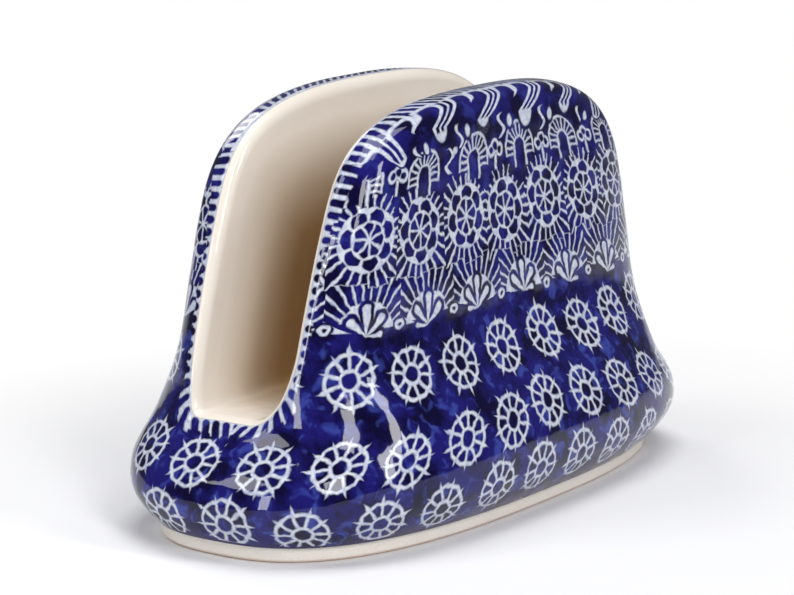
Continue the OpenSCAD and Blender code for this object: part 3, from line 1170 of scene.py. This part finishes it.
def rim_band(wobble, white, height, rim):
    """Slanted strokes and a festoon over the crown, and short strokes down the ends."""
    s, d, side = rim
    slant = climb(height, *SLANT_CLIMB)
    shifted = s - (least(d, 7.0) * 1.1 + d * 0.25) * slant + wobble[0] * 0.5
    turns = shifted * (1 / FESTOON) + FESTOON_PHASE
    across_it = (sawtooth(turns) - 0.5) * FESTOON
    second = FESTOON / 2 - absolute(across_it)
    lengths = chance(vector(floor(turns), side, 7.0))
    tongue = capsule(across_it, d, 4.0, lengths[0] * 2.0 + 8.6, 2.8)
    small = capsule(second, d, 4.0, lengths[1] * 1.6 + 5.8, 1.1)
    crown = climb(height, *CROWN_CLIMB)
    off_crown = (1 - crown) * OFF_CROWN
    shape = calc("SMOOTH_MAX", 5.0 - d, tongue, 2.8)
    shape = calc("SMOOTH_MAX", shape, small, 2.0) - off_crown

    way = (shifted + (wobble[1] + wobble[0]) * 0.4) * (1 / PITCH)
    luck = chance(vector(floor(way + 0.5), side, 3.0))
    stroke = least((luck[1] * 0.08 + 0.27 - tooth(way + 0.5)) * 2.2, d - 0.5 - luck[2] * 0.7,
                   luck[0] * 1.8 + 4.0 - d)
    bars = least(0.62 - absolute(absolute(across_it) - 1.0), 10.4 - d, d - 5.2)
    blue = least(most(stroke, bars), shape - 0.8)
    beside = (sawtooth(turns + 0.5) - 0.5) * FESTOON
    squiggle = least(0.55 - absolute(beside + 1.7 - calc("SINE", d * 1.6) * 1.1),
                     2.0 - absolute(d - 12.3))
    marks = most(0.95 - size_of(beside - 1.9, d - 11.6), squiggle) - off_crown
    cleared = most(shape + 0.9, least(9.6 - d, crown * 12.0 - d), marks + 0.8)
    white = white * (1 - inside(least(cleared, d)))
    white = most(white, inside(most(least(shape, d), marks)) * (1 - inside(blue, 0.36)))

    low = climb(height, *LOW_CLIMB)
    way = (s + d * (low * 0.45)) * (1 / PITCH) + wobble[1] * 0.12
    luck = chance(vector(floor(way + 0.5), side))
    shoulder = climb(height, *SHOULDER_CLIMB)
    depth = mix(luck[0] + 1.0 + shoulder * 2.7, luck[0] * 1.4 + 3.0, low)
    middle = tooth(way + 0.5) * PITCH
    blob = luck[2] * 0.30 + 0.74 - size_of(middle, least(d - 1.1, 0.0))
    zone = least(d, depth - d, off_crown - 0.8)
    strip = inside(zone) * (1 - inside(blob, 0.4))
    return most(white * (1 - inside(zone)), strip)


# The painter's hand: how far the marks drift and how far their lines quiver
DRIFT = 0.9
QUIVER = 0.45


def glaze_pattern(place):
    """The white of the pattern, the distance past the paint's line, and the way up."""
    t, v, around = parts_of(attribute("ornament"))
    rim = parts_of(attribute("rim"))
    height = parts_of(place)[2]
    drift = parts_of(noise(place, 0.32, 1.0, color=True))
    quiver = parts_of(noise(place, 0.85, 0.0, color=True))
    wobble = [(slow - 0.5) * DRIFT + (fast - 0.5) * QUIVER
              for slow, fast in zip(drift[:2], quiver[:2])]
    places = (t, v, around, wobble)
    white = rosette_rows(places)
    white = flower_band(places, white)
    white = dome_row(places, white)
    white = rim_band(wobble, white, height, rim)
    return white, rim[1], v


def object_place():
    scale = new_node("VectorMath")
    scale.operation = "SCALE"
    scale.inputs["Scale"].default_value = 1 / MM
    plug(scale.inputs[0], Field(new_node("TexCoord").outputs["Object"]))
    return Field(scale.outputs[0])


def new_material(name, roughness):
    material = bpy.data.materials.new(name)
    material.use_nodes = True
    Field.tree = material.node_tree
    shader = Field.tree.nodes["Principled BSDF"]
    shader.inputs["Roughness"].default_value = roughness
    return material, shader


def bump(shader, height, distance):
    node = new_node("Bump")
    node.inputs["Distance"].default_value = distance
    plug(node.inputs["Height"], height)
    plug(shader.inputs["Normal"], Field(node.outputs[0]))


# The solid blue line over the foot, and how far into the slot the cream starts to darken with
# painted shade
FOOT_LINE = 0.9
PAINTED_SHADE_FROM = 7.0
PAINTED_SHADE_LENGTH = 24.0
# How high the bumps stand, in metres
GLAZE_BUMP = 0.00007
CLAY_BUMP = 0.00005
PLATE_BUMP = 0.00008


def glaze_material():
    material, shader = new_material("stamped_glaze", 0.05)
    place = object_place()
    white, d, v = glaze_pattern(place)

    cloud = noise(place, 0.12, 4.0, 0.6)
    smear = noise(place, 0.24, 2.0, 0.5, 0.6)
    deep = tint(linear(5, 1, 45), linear(25, 21, 102), inside(cloud - 0.49, 0.16))
    ground = tint(deep, linear(62, 80, 168), inside(smear - 0.615, 0.12)
                  * mix(0.55, 0.2, inside(v - 52.0, 6.0)))
    ink = noise(place, 0.9, 2.0)
    chalk = tint(linear(168, 177, 202), linear(204, 208, 218), inside(ink - 0.45, 0.3))
    painted = tint(ground, chalk, white)
    foot_line = inside(FOOT_LINE - v, 0.4)
    painted = tint(painted, linear(20, 18, 84), foot_line)
    haze = noise(place, 0.04, 2.0)
    cream = tint(linear(230, 221, 210), linear(238, 231, 221), haze)
    # Painted shade: the cream turns brown deeper in the slot, away from its painted edge
    cream = tint(cream, linear(174, 143, 104), climb(d, -PAINTED_SHADE_FROM, -PAINTED_SHADE_LENGTH))
    plug(shader.inputs["Base Color"], tint(cream, painted, inside(d, 0.3)))
    shader.inputs["IOR"].default_value = 1.43
    peel = noise(place, 0.15, 1.5)
    bump(shader, peel * 3.0 + white * 0.15 * inside(d), GLAZE_BUMP)
    return material


def clay_material():
    material, shader = new_material("bare_clay", 0.62)
    place = object_place()
    height = parts_of(place)[2]
    grain = noise(place, 2.2, 3.0)
    cloud = noise(place, 0.08, 2.0)
    clay = tint(linear(236, 228, 217), linear(243, 237, 229), cloud)
    clay = tint(clay, linear(214, 200, 184), inside(grain - 0.66, 0.2) * 0.4)
    # The foot is tinted brown towards its lowest edge, within about a millimetre of the floor
    bottom_edge = inside(0.55 - height, 0.7)
    clay = tint(clay, linear(186, 138, 106), bottom_edge * 0.6)
    plug(shader.inputs["Base Color"], clay)
    bump(shader, grain, CLAY_BUMP)
    return material


def underside_material():
    material, shader = new_material("underside_glaze", 0.22)
    place = object_place()
    cloud = noise(place, 0.07, 3.0)
    fleck = noise(place, 0.9, 2.0)
    color = tint(linear(216, 202, 178), linear(230, 220, 202), cloud)
    color = tint(color, linear(168, 140, 110), inside(fleck - 0.72, 0.06) * 0.6)
    plug(shader.inputs["Base Color"], color)
    bump(shader, noise(place, 0.3, 2.0), PLATE_BUMP)
    return material


glaze = glaze_material()
for piece in glazed:
    piece["object"].data.materials.append(glaze)
foot["object"].data.materials.append(clay_material())
plate["object"].data.materials.append(underside_material())


# The stage, in metres: the floor's half size and drop, and where it fades into the white. A glossy
# ray sees a share of that white, and rays that carry light see the dim surround.
FLOOR_HALF = 6.0
FLOOR_DROP = 0.00002
FADE_START = 0.088
FADE_LENGTH = 0.10
GLOSSY_SHARE = 0.06
SURROUND = 0.08


def whiteness():
    path = new_node("LightPath").outputs
    return most(Field(path["Is Camera Ray"]), Field(path["Is Transmission Ray"]),
                Field(path["Is Glossy Ray"]) * GLOSSY_SHARE)


def make_floor():
    mesh = bpy.data.meshes.new("floor")
    corners = [(x * FLOOR_HALF, y * FLOOR_HALF, -FLOOR_DROP)
               for x, y in ((-1, -1), (1, -1), (1, 1), (-1, 1))]
    mesh.from_pydata(corners, [], [(0, 1, 2, 3)])
    plane = bpy.data.objects.new("floor", mesh)
    bpy.context.scene.collection.objects.link(plane)
    material, shader = new_material("floor", 0.9)
    shader.inputs["Base Color"].default_value = linear(240, 240, 242)
    shader.inputs["Specular IOR Level"].default_value = 0.0
    x, y, _ = parts_of(Field(new_node("TexCoord").outputs["Object"]))
    far = climb(size_of(x, y * 1.2), FADE_START, FADE_LENGTH)
    glow = new_node("Emission")
    fade = new_node("MixShader")
    for socket, value in zip(fade.inputs, (whiteness() * far, Field(shader.outputs[0]),
                                           Field(glow.outputs[0]))):
        plug(socket, value)
    plug(Field.tree.nodes["Material Output"].inputs["Surface"], Field(fade.outputs[0]))
    mesh.materials.append(material)


def make_world():
    world = bpy.data.worlds.new("studio")
    bpy.context.scene.world = world
    world.use_nodes = True
    Field.tree = world.node_tree
    background = world.node_tree.nodes["Background"]
    background.inputs["Color"].default_value = (1, 1, 1, 1)
    plug(background.inputs["Strength"], mix(SURROUND, 1.0, whiteness()))


# The place of each softbox, its width, height and power. All face one point.
AIM = Vector((0, 0, 0.05))
SOFTBOXES = {
    "left_front": ((-0.52, -0.83, 0.66), 0.24, 0.64, 5.2),
    "front": ((0.10, -1.02, 0.62), 0.13, 0.50, 2.6),
    "left_rear": ((-0.70, 0.49, 0.85), 0.40, 0.40, 3.0),
    "left_low": ((-1.25, 0.02, 0.33), 0.17, 0.55, 3.0),
    "right_rear": ((0.50, 1.00, 0.75), 0.50, 0.50, 3.2),
    "top": ((0.05, -0.10, 1.30), 0.90, 0.80, 9.6),
}


def make_softbox(name, place, width, height, power):
    data = bpy.data.lights.new(name, "AREA")
    data.shape = "RECTANGLE"
    data.size = width
    data.size_y = height
    data.energy = power
    lamp = bpy.data.objects.new(name, data)
    lamp.location = place
    lamp.rotation_mode = "QUATERNION"
    lamp.rotation_quaternion = (AIM - Vector(place)).to_track_quat("-Z", "Y")
    bpy.context.scene.collection.objects.link(lamp)


make_floor()
make_world()
for lamp_name, lamp_values in SOFTBOXES.items():
    make_softbox(lamp_name, *lamp_values)

scene = bpy.context.scene
scene.view_settings.view_transform = "Standard"
